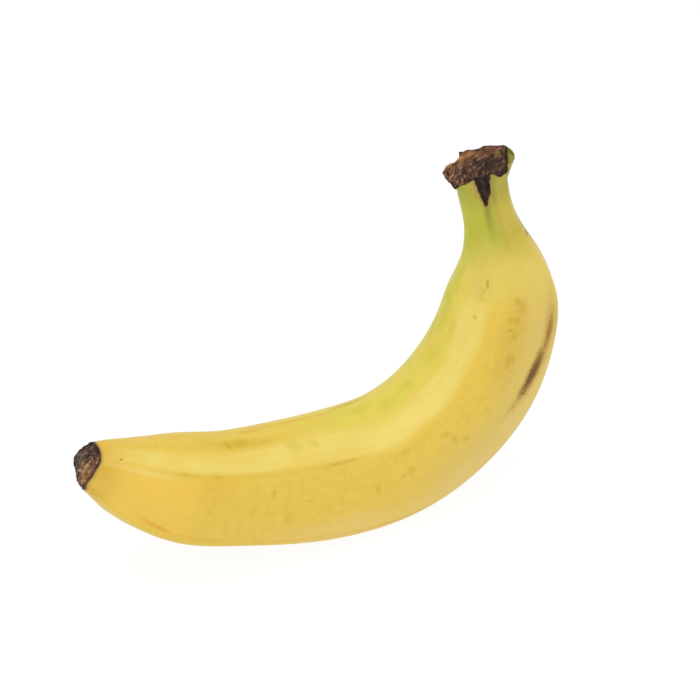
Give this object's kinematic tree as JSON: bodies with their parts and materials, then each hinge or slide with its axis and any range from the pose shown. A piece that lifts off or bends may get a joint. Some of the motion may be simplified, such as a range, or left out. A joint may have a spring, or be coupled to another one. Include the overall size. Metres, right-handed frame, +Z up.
{
  "type": "banana",
  "caption": "Single ripe banana: a curved, softly five-sided yellow fruit with a green neck, a torn brown crown and a dried blossom scar.",
  "frame": {"origin": "centre of the small flat spot on the outside of the bend, where the fruit stands on a table", "axes": "+Z up from the table, +X towards the stem end, so the bend lies in the XZ plane; -Y is the side with the split below the crown"},
  "size_m": [0.1425, 0.0346, 0.103],
  "materials": {
    "peel": "ripe banana peel: yellow, green at the neck, waxy and half matt, with dry brown crown and blossom scar"
  },
  "bodies": {
    "root": {"banana": "peel"}
  },
  "joints": []
}
